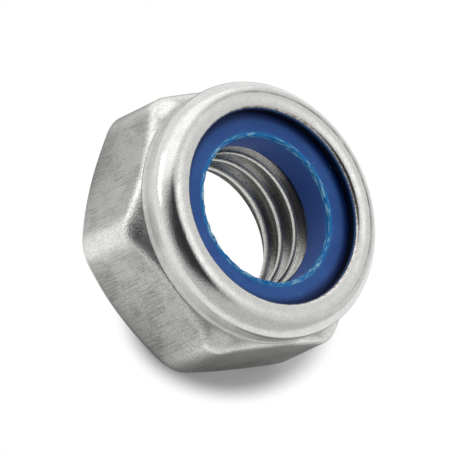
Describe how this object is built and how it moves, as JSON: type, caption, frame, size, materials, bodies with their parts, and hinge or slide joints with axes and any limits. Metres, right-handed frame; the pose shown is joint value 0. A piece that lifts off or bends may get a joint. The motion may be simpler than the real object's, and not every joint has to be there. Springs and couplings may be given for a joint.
{
  "type": "nylon insert lock nut",
  "caption": "Low hexagon lock nut in bare steel with a nylon ring held under its rolled collar; the ring grips the bolt thread.",
  "frame": {"origin": "centre of the bearing face on the thread axis", "axes": "+Z along the thread axis from the bearing face towards the nylon insert, +X through a corner of the hexagon"},
  "size_m": [0.018, 0.016, 0.0086],
  "materials": {
    "steel": "tumbled satin, bright on the rolled rim",
    "nylon": "satin blue moulded nylon"
  },
  "bodies": {
    "root": {"nut_body": "steel", "nylon_ring": "nylon"}
  },
  "joints": []
}
